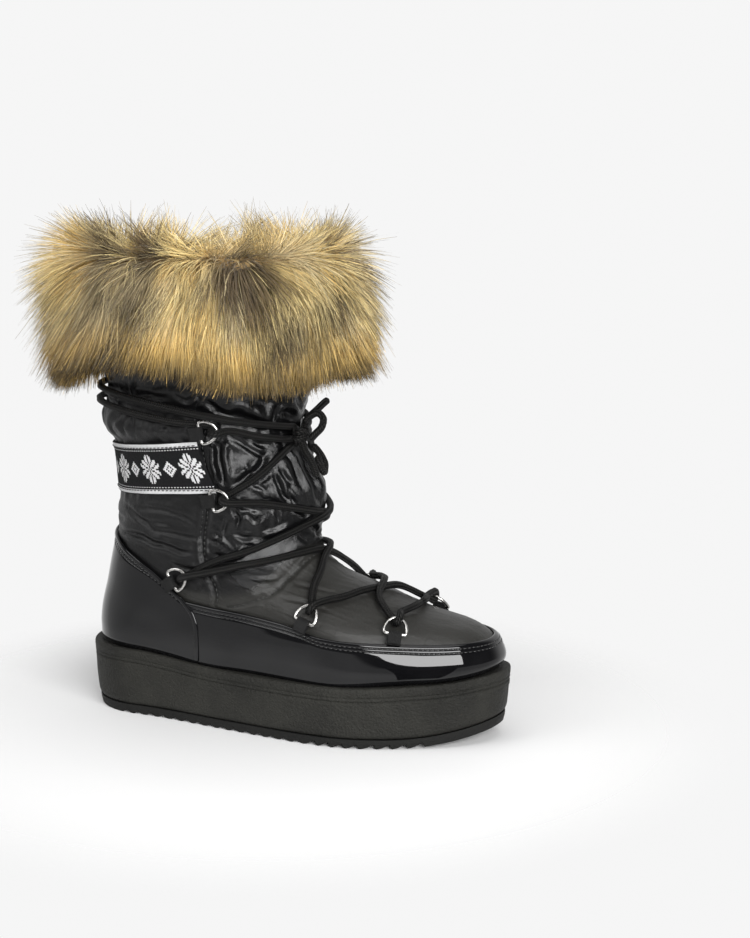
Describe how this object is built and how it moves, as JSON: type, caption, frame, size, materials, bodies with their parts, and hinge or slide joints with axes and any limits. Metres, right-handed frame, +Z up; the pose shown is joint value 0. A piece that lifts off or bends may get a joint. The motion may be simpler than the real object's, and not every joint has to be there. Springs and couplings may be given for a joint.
{
  "type": "snow boot",
  "caption": "Padded black snow boot with a thick platform sole, patent mudguard and heel, crossed round laces through wire rings, a woven band and a deep fur collar.",
  "frame": {"origin": "on the floor under the middle of the heel, 40 mm in from the back of the sole", "axes": "+X to the toe, +Y to the inner side of the foot, +Z up"},
  "size_m": [0.3055, 0.1863, 0.312],
  "materials": {
    "tread_rubber": "matt black rubber",
    "platform_rubber": "matt dark olive grey, finely pebbled",
    "lining": "dark short-pile fleece",
    "nylon": "black padded nylon, satin to glossy",
    "patent": "mirror-gloss black patent",
    "woven": "black jacquard with white edge stripes",
    "lace": "round black braid",
    "tab_leather": "black coated strip",
    "steel": "bright nickel-plated wire",
    "fur": "long faux fur, cream to ochre with dark tips"
  },
  "bodies": {
    "root": {"tread": "tread_rubber", "platform": "platform_rubber", "insole": "lining", "upper": "nylon", "mudguard": "patent", "heel_counter": "patent", "woven_band": "woven", "fur_cuff": "fur", "ring_1_outer": "steel", "ring_1_inner": "steel", "ring_2_outer": "steel", "ring_2_inner": "steel", "ring_3_outer": "steel", "ring_3_inner": "steel", "ring_4_outer": "steel", "ring_4_inner": "steel", "ring_5_outer": "steel", "ring_5_inner": "steel", "tab_1_outer": "tab_leather", "tab_1_inner": "tab_leather", "tab_2_outer": "tab_leather", "tab_2_inner": "tab_leather", "tab_3_outer": "tab_leather", "tab_3_inner": "tab_leather", "tab_4_outer": "tab_leather", "tab_4_inner": "tab_leather", "tab_5_outer": "tab_leather", "tab_5_inner": "tab_leather", "lace_bar_toe": "lace", "lace_cross_low": "lace", "lace_cross_middle": "lace", "lace_cross_high": "lace", "lace_yoke": "lace", "lace_wrap_upper": "lace", "lace_wrap_lower": "lace", "lace_knot": "lace", "lace_loop_outer": "lace", "lace_loop_inner": "lace", "lace_end_outer": "lace", "lace_end_inner": "lace"}
  },
  "joints": []
}
